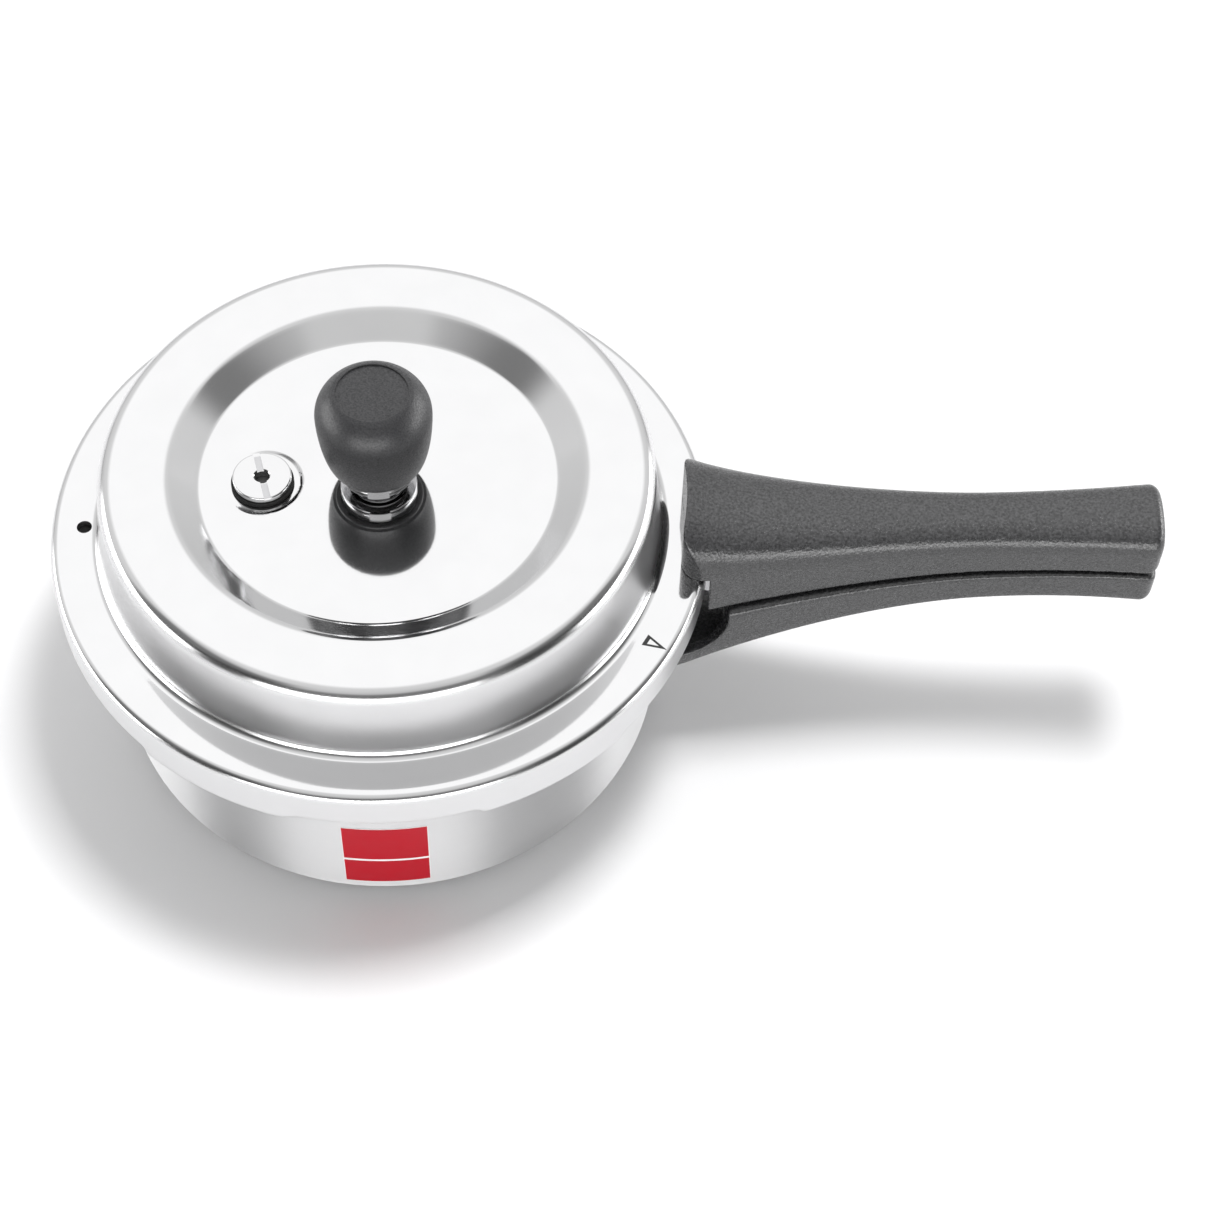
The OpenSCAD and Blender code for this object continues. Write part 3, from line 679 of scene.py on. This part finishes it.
# Room in both handles for the brackets and their screws
TONGUE_START = 100
TONGUE_HALF_W = 8.2
TONGUE_ROOM = 2.6
TONGUE_SPARE = 0.3
SHAFT_R, HEAD_R = 2.3, 4.3


def curve_z(line, x):
    """Height at x on a quadratic curve with three control points."""
    nearly_even = 1e-3
    (x0, z0), (x1, z1), (x2, z2) = line
    a, b, c = x0 - 2 * x1 + x2, 2 * (x1 - x0), x0 - x
    t = -c / b if abs(a) < nearly_even else (-b + math.sqrt(b * b - 4 * a * c)) / (2 * a)
    return FLANGE_Z + (1 - t) ** 2 * z0 + 2 * t * (1 - t) * z1 + t * t * z2


def handle_w(x):
    """Half width of the upper handle."""
    if x < WAIST_X:
        return WAIST_W + (ROOT_W - WAIST_W) * ((WAIST_X - x) / (WAIST_X - ROOT_X)) ** TAPER_POWER
    return WAIST_W + (END_W - WAIST_W) * ((x - WAIST_X) / (END_X - WAIST_X)) ** 2


def pan_handle_w(x):
    """Half width of the lower handle."""
    share = (x - ROOT_X) / (END_X - ROOT_X)
    return handle_w(max(x, ROOT_X)) + PAN_ROOT_EXTRA + (PAN_END_EXTRA - PAN_ROOT_EXTRA) * share


def end_inset(x):
    """How far the rounding of a handle's end draws its faces in at x."""
    u = max(0, (x - END_X + END_ROUND) / END_ROUND)
    return END_ROUND * (1 - math.sqrt(max(0, 1 - u * u)))


def handle_section(x, half_w, low, high, up, down, crown=0):
    """A rounded rectangle whose corners follow the power up above and the power down below."""
    points = []
    for i in range(SECTION_POINTS):
        a = 2 * math.pi * i / SECTION_POINTS
        power = 2 / (up if math.sin(a) >= 0 else down)
        y = math.copysign(abs(math.cos(a)) ** power, math.cos(a))
        z = math.copysign(abs(math.sin(a)) ** power, math.sin(a))
        dome = crown * (1 - y * y) if math.sin(a) > 0 else 0
        points.append((x, half_w * y, (low + high) / 2 + (high - low) / 2 * z + dome))
    return points


def handle_stations(start):
    """Places along X of a handle's sections, closer together round its end."""
    body = [start + (END_X - END_ROUND - start) * i / STATIONS for i in range(STATIONS + 1)]
    angles = [math.radians(a) for a in range(END_STATION_STEP, 90, END_STATION_STEP)]
    end = [END_X - END_ROUND * (1 - math.sin(a)) for a in angles]
    return body + end + [END_X - 0.01]


def front_corners():
    """Cutters that round the two upright corners of the upper handle's front."""
    y = handle_w(HANDLE_FRONT + FRONT_ROUND) - FRONT_ROUND
    x = math.sqrt((HANDLE_FRONT + FRONT_ROUND) ** 2 - y * y)
    side, front = y + FRONT_ROUND + 5, HANDLE_FRONT - 12
    outline = arc(x, y, FRONT_ROUND, 180 + math.degrees(math.atan2(y, x)), 75, step=4)
    outline += [(x, side), (front, side), (front, y)]
    mirrored = [(px, -py) for px, py in outline]
    return [prism(plan, FLANGE_Z - 5, FLANGE_Z + 35) for plan in (outline, mirrored)]


def tongue_cutter(bracket, slot_z):
    """Room for the tongue of a bracket."""
    end = node_box(bracket)[1].x + TONGUE_SPARE
    return box_cutter((TONGUE_START, -TONGUE_HALF_W, slot_z), (end, TONGUE_HALF_W, slot_z + TONGUE_ROOM))


def screw_cutters(screw, low, head_low, head_high):
    """Room for a handle's screw from height low up, and for its head."""
    x = node_centre(screw)[0]
    shaft_top = node_box(screw)[1].z + TONGUE_SPARE
    return [round_cutter(x, 0, SHAFT_R, low, shaft_top), round_cutter(x, 0, HEAD_R, head_low, head_high)]


def lid_handle():
    gap_start = GAP_LINE[0][0]
    sections = []
    for x in handle_stations(LID_HANDLE_START):
        inset = end_inset(x)
        low = curve_z(GAP_LINE, max(x, gap_start)) + END_LEAN * inset
        high = curve_z(TOP_LINE, x) - inset
        half_w = handle_w(max(x, ROOT_X)) - inset
        sections.append(handle_section(x, half_w, low, high, up=3.1, down=40, crown=1.2))
    piece = loft("lid_handle_moulding", sections, HANDLE)
    slot_z = FLANGE_Z - 4.3
    screw_low = node_box("lid_handle_screw")[0].z
    plate_end, plate_half_w = 111.2, 16
    cut(piece, [
        *front_corners(),
        round_cutter(0, 0, HANDLE_FRONT, FLANGE_Z - 30, FLANGE_Z + 30, WIDE_CUTTER_ROUND),
        round_cutter(0, 0, LID_R + LID_GAP, 0, FLANGE_Z, WIDE_CUTTER_ROUND),
        box_cutter((100, -plate_half_w, FLANGE_Z - 25), (plate_end, plate_half_w, FLANGE_Z - 1)),
        tongue_cutter("lid_bracket", slot_z),
        *screw_cutters("lid_handle_screw", screw_low, FLANGE_Z - 20, slot_z - 2.5)])
    show(soften(piece), "lid", "grained_bakelite", "lid_handle")


def rivet_pockets():
    """Room in the lower handle for the heads of the rivets on the pan."""
    rivet_z, pocket_r = FLANGE_Z - 32.5, 3.8
    pockets = []
    for angle in (-8, 8):
        along = Matrix.Rotation(math.radians(angle), 4, "Z") @ Matrix.Rotation(math.radians(90), 4, "Y")
        stand = Matrix.Translation((0, 0, rivet_z)) @ along
        ends = [[stand @ Vector((x, y, reach)) for x, y in circle(0, 0, pocket_r, POCKET_ROUND)]
                for reach in (85, 94.1)]
        pockets.append(loft("cutter", ends, cutter_material()))
    return pockets


def trough_outline():
    """Plan of the open trough in the lower handle's root."""
    wall, corner, straight_end, end = 4, 6, 106, 111
    side = [(x, pan_handle_w(x) - wall) for x in range(86, straight_end + 1, 5)]
    side += arc(straight_end, pan_handle_w(end) - wall - corner, corner, 70, 0, step=10)
    return side + [(x, -y) for x, y in reversed(side)]


def pan_handle():
    sections = []
    for x in handle_stations(PAN_HANDLE_START):
        inset = end_inset(x)
        low = curve_z(UNDER_LINE, x) + inset
        high = curve_z(GAP_LINE, max(x, ROOT_X)) - HANDLE_GAP - END_LEAN * inset
        sections.append(handle_section(x, pan_handle_w(x) - inset, low, high, up=14, down=6.5))
    piece = loft("pan_handle_moulding", sections, HANDLE)
    slot_z = FLANGE_Z - 27.1
    notch_z = FLANGE_Z - 20
    cut(piece, [
        round_cutter(0, 0, PAN_R + BRACKET_T + 0.2, 0, FLANGE_Z, WIDE_CUTTER_ROUND),
        side_cutter(95, notch_z, 17, 40),
        box_cutter((80, -40, notch_z), (112, 40, FLANGE_Z + 10)),
        prism(trough_outline(), FLANGE_Z - 38.5, FLANGE_Z + 1.5),
        *rivet_pockets(),
        tongue_cutter("pan_bracket", slot_z),
        *screw_cutters("pan_handle_screw", 0, 0, slot_z - 3.9)])
    show(soften(piece), "pan", "grained_bakelite", "pan_handle")


# ---------- Weight valve ----------

KNOB_MID_H, KNOB_RISE = 30, 13.6           # its widest place above the disc, and its top above that
KNOB_FOOT_R, KNOB_FOOT_H = 13.9, 9.1
KNOB_FACE_R, KNOB_FACE_H = 11.5, 39.6
KNOB_POWER = 1.18
KNOB_STEP, KNOB_TOP_STEP, KNOB_TOP_COUNT = 3, 2.44, 20
COLLAR_R = 12
COLLAR_IN_R = 9.3
TAB_MID, TAB_SPAN, TAB_T, TAB_H = -84, 31, 0.6, 4.1


def knob_outline():
    """The knob's outside above the disc, from its foot to the middle of its recessed face."""
    knob_r = node_box("weight_knob")[1].x
    foot_edge, foot_in, foot_end = 0.9, 0.8, 1.2
    brim_edge, brim_in = 0.6, 0.5
    face_edge, face_in = 0.3, 0.4
    foot = arc(KNOB_FOOT_R - foot_in, KNOB_FOOT_H + foot_edge, foot_edge, -90, -10, step=16)
    lower = []
    for degrees in range(0, 91, KNOB_STEP):
        a = math.radians(degrees)
        r = KNOB_FOOT_R + (knob_r - KNOB_FOOT_R) * math.sin(a) ** KNOB_POWER
        z = KNOB_MID_H - (KNOB_MID_H - KNOB_FOOT_H) * math.cos(a) ** KNOB_POWER
        if z > KNOB_FOOT_H + foot_end:
            lower.append((r, z))
    angles = [math.radians(KNOB_TOP_STEP * i) for i in range(1, KNOB_TOP_COUNT + 1)]
    upper = [(knob_r * math.cos(a), KNOB_MID_H + KNOB_RISE * math.sin(a)) for a in angles]
    lip_r, lip_h = upper.pop()
    brim = arc(lip_r - brim_in, lip_h - brim_edge, brim_edge, 50, 110, step=10)
    face = arc(KNOB_FACE_R - face_in, KNOB_FACE_H + face_edge, face_edge, -40, -90, step=10)
    return refine(foot + lower + upper + brim + face + [(0, KNOB_FACE_H)], 1.0)


def weight_knob():
    inner_r, inner_h = 9.25, 32.1
    hole_r, shelf_h, hole_low = 12.05, 13.2, KNOB_FOOT_H + 0.3
    under = [(0, inner_h), (inner_r, inner_h), (inner_r, shelf_h), (hole_r, shelf_h), (hole_r, hole_low)]
    section = [(r, DISC_Z + z) for r, z in refine(under, 2) + knob_outline()]
    piece = turned("weight_knob_moulding", section, KNOB, steps=SMALL_ROUND * 2)
    show(piece, "weight", "black_bakelite", "weight_knob")


def weight_collar():
    """The ring under the knob, with a groove between two beads, and its raised tab."""
    low, high = node_box("weight_collar")
    edge = 0.3
    groove_x, groove_edge = COLLAR_R - 0.05, 0.45
    groove_low, groove_high, groove_end = 1.6, 2.5, 3.1
    section = [(COLLAR_IN_R, low.z)] + arc(COLLAR_R - edge, low.z + edge, edge, -90, 0, EDGE_STEP)
    section += arc(groove_x, low.z + groove_low, groove_edge, 250, 180, step=14)
    section += arc(groove_x, low.z + groove_high, groove_edge, 180, 110, step=14)
    section += [(COLLAR_R, low.z + groove_end), (COLLAR_R, high.z), (COLLAR_IN_R, high.z)]
    tab_in_r, tab_r, tab_edge = COLLAR_R - 1, COLLAR_R + TAB_T, 0.15
    tab_low, tab_high = low.z + 0.02, low.z + TAB_H
    tab_section = [(tab_in_r, tab_low), (tab_r - tab_edge, tab_low), (tab_r, tab_low + tab_edge),
                   (tab_r, tab_high - tab_edge), (tab_r - tab_edge, tab_high), (tab_in_r, tab_high)]
    tab = sector("collar_tab", tab_section, TAB_MID, TAB_SPAN, STEEL)
    show(tab, "weight", "polished_steel")
    ring = turned("weight_collar_ring", refine(section, 1), STEEL, ring=True)
    show(ring, "weight", "polished_steel", "weight_collar")


def weight_core():
    low, high = node_box("weight_core")
    r, bevel = high.x, 0.3
    bore_r, hole_r, needle_r = 6.4, 5, 2.65
    bore_top, hole_top = low.z + 5, DISC_Z + 23.7
    section = [(bore_r, low.z), (r - bevel, low.z), (r, low.z + bevel), (r, high.z), (needle_r, high.z),
               (needle_r, hole_top), (hole_r, hole_top), (hole_r, bore_top), (bore_r, bore_top)]
    piece = turned("weight_core_turning", refine(section, 1.5), STEEL, ring=True)
    show(piece, "weight", "polished_steel", "weight_core")


# ---------- Fittings on the lid ----------

def vent_pipe():
    low, high = node_box("vent_pipe")
    bore_r, shank_r, pipe_r, mouth_r, flange_r = 1.6, 5, 4.6, 3.6, 8
    bevel = 0.3
    flange_low = DISC_Z + 0.8
    flange_top = flange_low + 1.3
    section = [(bore_r, low.z), (pipe_r, low.z), (shank_r, low.z + 0.4), (shank_r, flange_low),
               (flange_r - bevel, flange_low), (flange_r, flange_low + bevel),
               (flange_r, flange_top - bevel), (flange_r - bevel, flange_top),
               (shank_r, flange_top), (pipe_r, flange_top + 0.4), (pipe_r, high.z - 1),
               (mouth_r, high.z), (bore_r, high.z)]
    piece = turned("vent_pipe_turning", refine(section, 1.5), STEEL, ring=True)
    show(piece, "lid", "polished_steel", "vent_pipe")


def washer(name, node):
    """A flat rubber ring with rounded edges, where its CAD node is."""
    hole_r = 5.05
    low, high = node_box(node)
    r = (high.x - low.x) / 2
    edge = min(0.5, (high.z - low.z) / 2 - 0.05)
    section = [(hole_r, low.z)] + arc(r - edge, low.z + edge, edge, -90, 0, EDGE_STEP)
    section += arc(r - edge, high.z - edge, edge, 0, 90, EDGE_STEP) + [(hole_r, high.z)]
    piece = turned(name, refine(section, 1), RUBBER, centre=node_centre(node), ring=True)
    show(piece, "lid", "black_rubber", node)


def safety_plug():
    """The plug, with a slot across its head and a darker, rougher sheet in each half of the slot, which is
    painted shade on the slot's floor.
    """
    low, high = node_box("safety_plug")
    centre = node_centre("safety_plug")
    seat = node_box("plug_seal")[1].z
    head_r, shank_r, bore_r = (high.x - low.x) / 2, 5, 2.4
    foot_bevel, head_edge, head_bevel, bore_bevel = 0.4, 0.3, 0.6, 0.25
    section = [(bore_r, low.z), (shank_r - foot_bevel, low.z), (shank_r, low.z + foot_bevel),
               (shank_r, seat)]
    section += arc(head_r - head_edge, seat + head_edge, head_edge, -90, 0, EDGE_STEP)
    section += arc(head_r - head_bevel, high.z - head_bevel, head_bevel, 0, 90, step=10)
    section += [(bore_r + bore_bevel, high.z), (bore_r, high.z - bore_bevel)]
    piece = turned("safety_plug_turning", refine(section, 0.8), STEEL, steps=SMALL_ROUND * 2,
                   centre=centre, ring=True)
    slot_at, slot_half_w, slot_reach, slot_depth = 107, 1.05, 12, 0.9
    shade_lift, shade_t = 0.05, 0.35
    along = Vector((math.cos(math.radians(slot_at)), math.sin(math.radians(slot_at))))
    across = Vector((-along.y, along.x)) * slot_half_w

    def slot_plan(first, second):
        """The slot's outline from one distance along it to another."""
        start, end = Vector(centre) + along * first, Vector(centre) + along * second
        return [tuple(start - across), tuple(end - across), tuple(end + across), tuple(start + across)]

    cut(piece, [prism(slot_plan(-slot_reach, slot_reach), high.z - slot_depth, high.z + 1)])
    # A thin darker, rougher zinc sheet on each half of the slot's floor stands for the shade down in the
    # slot: painted shade.
    shade_floor_top = high.z - slot_depth + shade_lift
    for name, side in (("plug_slot_shade_near", -1), ("plug_slot_shade_far", 1)):
        plan = slot_plan(side * (bore_r + 0.3), side * (head_r - 0.8))
        shade_sheet = prism(plan, shade_floor_top - shade_t, shade_floor_top)
        shade_sheet.name = shade_sheet.data.name = name
        shade_sheet.data.materials[0] = ZINC
        show(shade_sheet, "lid", "polished_steel")
    show(piece, "lid", "polished_steel", "safety_plug")


def kept_nodes():
    """CAD nodes whose own mesh is shown, with a finished material."""
    looks = {
        ZINC: ["pan_bracket", "pan_bracket_rivets", "pan_handle_screw", "lid_bracket",
               "lid_bracket_rivets", "lid_handle_screw", "vent_nut", "plug_nut"],
        STEEL: ["weight_clip", "weight_needle"],
        ALLOY: ["fusible_alloy"],
    }
    for material, names in looks.items():
        for name in names:
            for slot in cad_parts[name].material_slots:
                slot.material = material


# ---------- Stage, light and camera ----------

CAMERA_AZIMUTH = -82
FLOOR_REACH = 3.0                  # metres, as are the lamp's places and sizes
LAMP_PLACE, LAMP_AIM = (0.24, 0.12, 1.3), (0.03, 0, 0)
LAMP_SIZE, LAMP_POWER = 0.3, 14

# The sky, with azimuths counted from the camera's side
BACKDROP = (0.9, 0.9, 0.9, 1)
CANOPY_TILT = 28                   # degrees from straight up, away from the camera
CANOPY_POWER = 1.32
CANOPY = [(0, 0.14), (0.22, 0.18), (0.4, 0.52), (0.6, 0.62), (0.8, 0.68), (0.93, 1), (1, 1)]  # by cosine
FLAGS = [(-72, 22), (70, 22)]      # each dark flag's middle and half width
FLAG_SOFT = 16
FLAG_DARK = 0.7
FLAG_TOP = (0.7, 0.9)              # sines of the elevations where they fade and end
STRIPS = [(-98, 18), (-10, 27), (96, 20)]   # each bright strip's middle and half width
STRIP_SOFT = 13
STRIP_POWER = 5
STRIP_TOP = (0.25, 0.35)


def floor():
    mesh = bpy.data.meshes.new("floor")
    corners = [(x * FLOOR_REACH, y * FLOOR_REACH, 0) for x, y in ((-1, -1), (1, -1), (1, 1), (-1, 1))]
    mesh.from_pydata(corners, [], [[0, 1, 2, 3]])
    mesh.materials.append(paper_floor())
    piece = bpy.data.objects.new("floor", mesh)
    bpy.context.scene.collection.objects.link(piece)


def key_light():
    """A lamp that casts the soft shadow. The metal doesn't mirror it."""
    data = bpy.data.lights.new("key", "AREA")
    data.shape = "RECTANGLE"
    data.size = data.size_y = LAMP_SIZE
    data.energy = LAMP_POWER
    lamp = bpy.data.objects.new("key", data)
    lamp.location = LAMP_PLACE
    lamp.visible_glossy = False
    lamp.rotation_euler = (Vector(LAMP_AIM) - Vector(LAMP_PLACE)).to_track_quat("-Z", "Y").to_euler()
    bpy.context.scene.collection.objects.link(lamp)


def heading(azimuth, elevation=0):
    """Unit direction, with the azimuth counted from the camera's side."""
    a, e = math.radians(CAMERA_AZIMUTH + azimuth), math.radians(elevation)
    return math.cos(a) * math.cos(e), math.sin(a) * math.cos(e), math.sin(e)


def sky():
    """A bright canopy over dim walls, with two dark flags, and bright strips low on the walls."""
    world = bpy.data.worlds.new("studio")
    bpy.context.scene.world = world
    world.use_nodes = True
    tree = world.node_tree
    background = next(n for n in tree.nodes if n.type == "BACKGROUND")
    output = next(n for n in tree.nodes if n.type == "OUTPUT_WORLD")

    def node(kind, links=(), inputs=(), **settings):
        return add_node(tree, kind, links, inputs, **settings)

    def math_node(operation, first, second):
        links = {i: v for i, v in enumerate((first, second)) if not isinstance(v, (int, float))}
        values = {i: v for i, v in enumerate((first, second)) if isinstance(v, (int, float))}
        return node("Math", links, values, operation=operation).outputs[0]

    def smooth(value, start, end, low=0.0, high=1.0):
        return node("MapRange", {"Value": value},
                    {"From Min": start, "From Max": end, "To Min": low, "To Max": high},
                    interpolation_type="SMOOTHSTEP").outputs["Result"]

    place = node("TexCoord").outputs["Generated"]
    flat = node("VectorMath", {0: place}, {1: (1, 1, 0)}, operation="MULTIPLY").outputs[0]
    level = node("VectorMath", {0: flat}, operation="NORMALIZE").outputs[0]
    height = node("SeparateXYZ", {0: place}).outputs["Z"]

    def toward(vector, direction):
        return node("VectorMath", {0: vector}, {1: direction}, operation="DOT_PRODUCT").outputs["Value"]

    def bands(places, soft):
        """1 in every (middle, half width), 0 away from them all, and soft degrees between."""
        all_bands = 0.0
        for middle, half in places:
            edge = [math.cos(math.radians(half + s)) for s in (soft, 0)]
            all_bands = math_node("MAXIMUM", all_bands, smooth(toward(level, heading(middle)), *edge))
        return all_bands

    ramp = node("ValToRGB", {"Fac": toward(place, heading(180, 90 - CANOPY_TILT))})
    stops = ramp.color_ramp.elements
    for stop, (position, value) in zip((stops[0], stops[-1]), (CANOPY[0], CANOPY[-1])):
        stop.position = position
        stop.color = (value, value, value, 1)
    for position, value in CANOPY[1:-1]:
        stops.new(position).color = (value, value, value, 1)
    dark = math_node("MULTIPLY", bands(FLAGS, FLAG_SOFT), smooth(height, *FLAG_TOP, FLAG_DARK, 0.0))
    strips = math_node("MULTIPLY", bands(STRIPS, STRIP_SOFT), smooth(height, *STRIP_TOP, STRIP_POWER, 0.0))
    canopy = math_node("MULTIPLY", ramp.outputs["Color"], CANOPY_POWER)
    canopy = math_node("MULTIPLY", canopy, math_node("SUBTRACT", 1.0, dark))
    whole = math_node("ADD", canopy, strips)
    background.inputs["Color"].default_value = (1, 1, 1, 1)
    tree.links.new(whole, background.inputs["Strength"])
    plain = node("Background", inputs={"Color": BACKDROP})
    path = node("LightPath")
    choose = node("MixShader", {0: path.outputs["Is Camera Ray"], 1: background.outputs[0],
                                2: plain.outputs[0]})
    tree.links.new(choose.outputs[0], output.inputs["Surface"])


def camera():
    """Looks down at the lid from the front, a little to the right of its middle."""
    distance, elevation = 0.8339, 52.686
    turn, tilt, roll = -4.786, -2.323, -4.358

    def about(axis, degrees):
        return Matrix.Rotation(math.radians(degrees), 4, axis)

    data = bpy.data.cameras.new("camera")
    data.lens = 77.1
    data.sensor_width = 36
    data.clip_start = 0.05
    data.clip_end = 20
    eye = bpy.data.objects.new("camera", data)
    stand = about("Z", CAMERA_AZIMUTH + 90) @ about("X", 90 - elevation)
    aim = about("Y", turn) @ about("X", tilt) @ about("Z", roll)
    eye.matrix_world = (Matrix.Translation((0, 0, FLANGE_Z * MM)) @ stand
                        @ Matrix.Translation((0, 0, distance)) @ aim)
    bpy.context.scene.collection.objects.link(eye)
    bpy.context.scene.camera = eye


lid_shell()
arrow_mark()
gasket()
pan_shell()
front_label()
lid_handle()
pan_handle()
weight_knob()
weight_collar()
weight_core()
vent_pipe()
washer("vent_washer_ring", "vent_washer")
washer("plug_seal_ring", "plug_seal")
safety_plug()
kept_nodes()
floor()
camera()
bpy.context.scene.view_settings.view_transform = "Standard"
sky()
key_light()
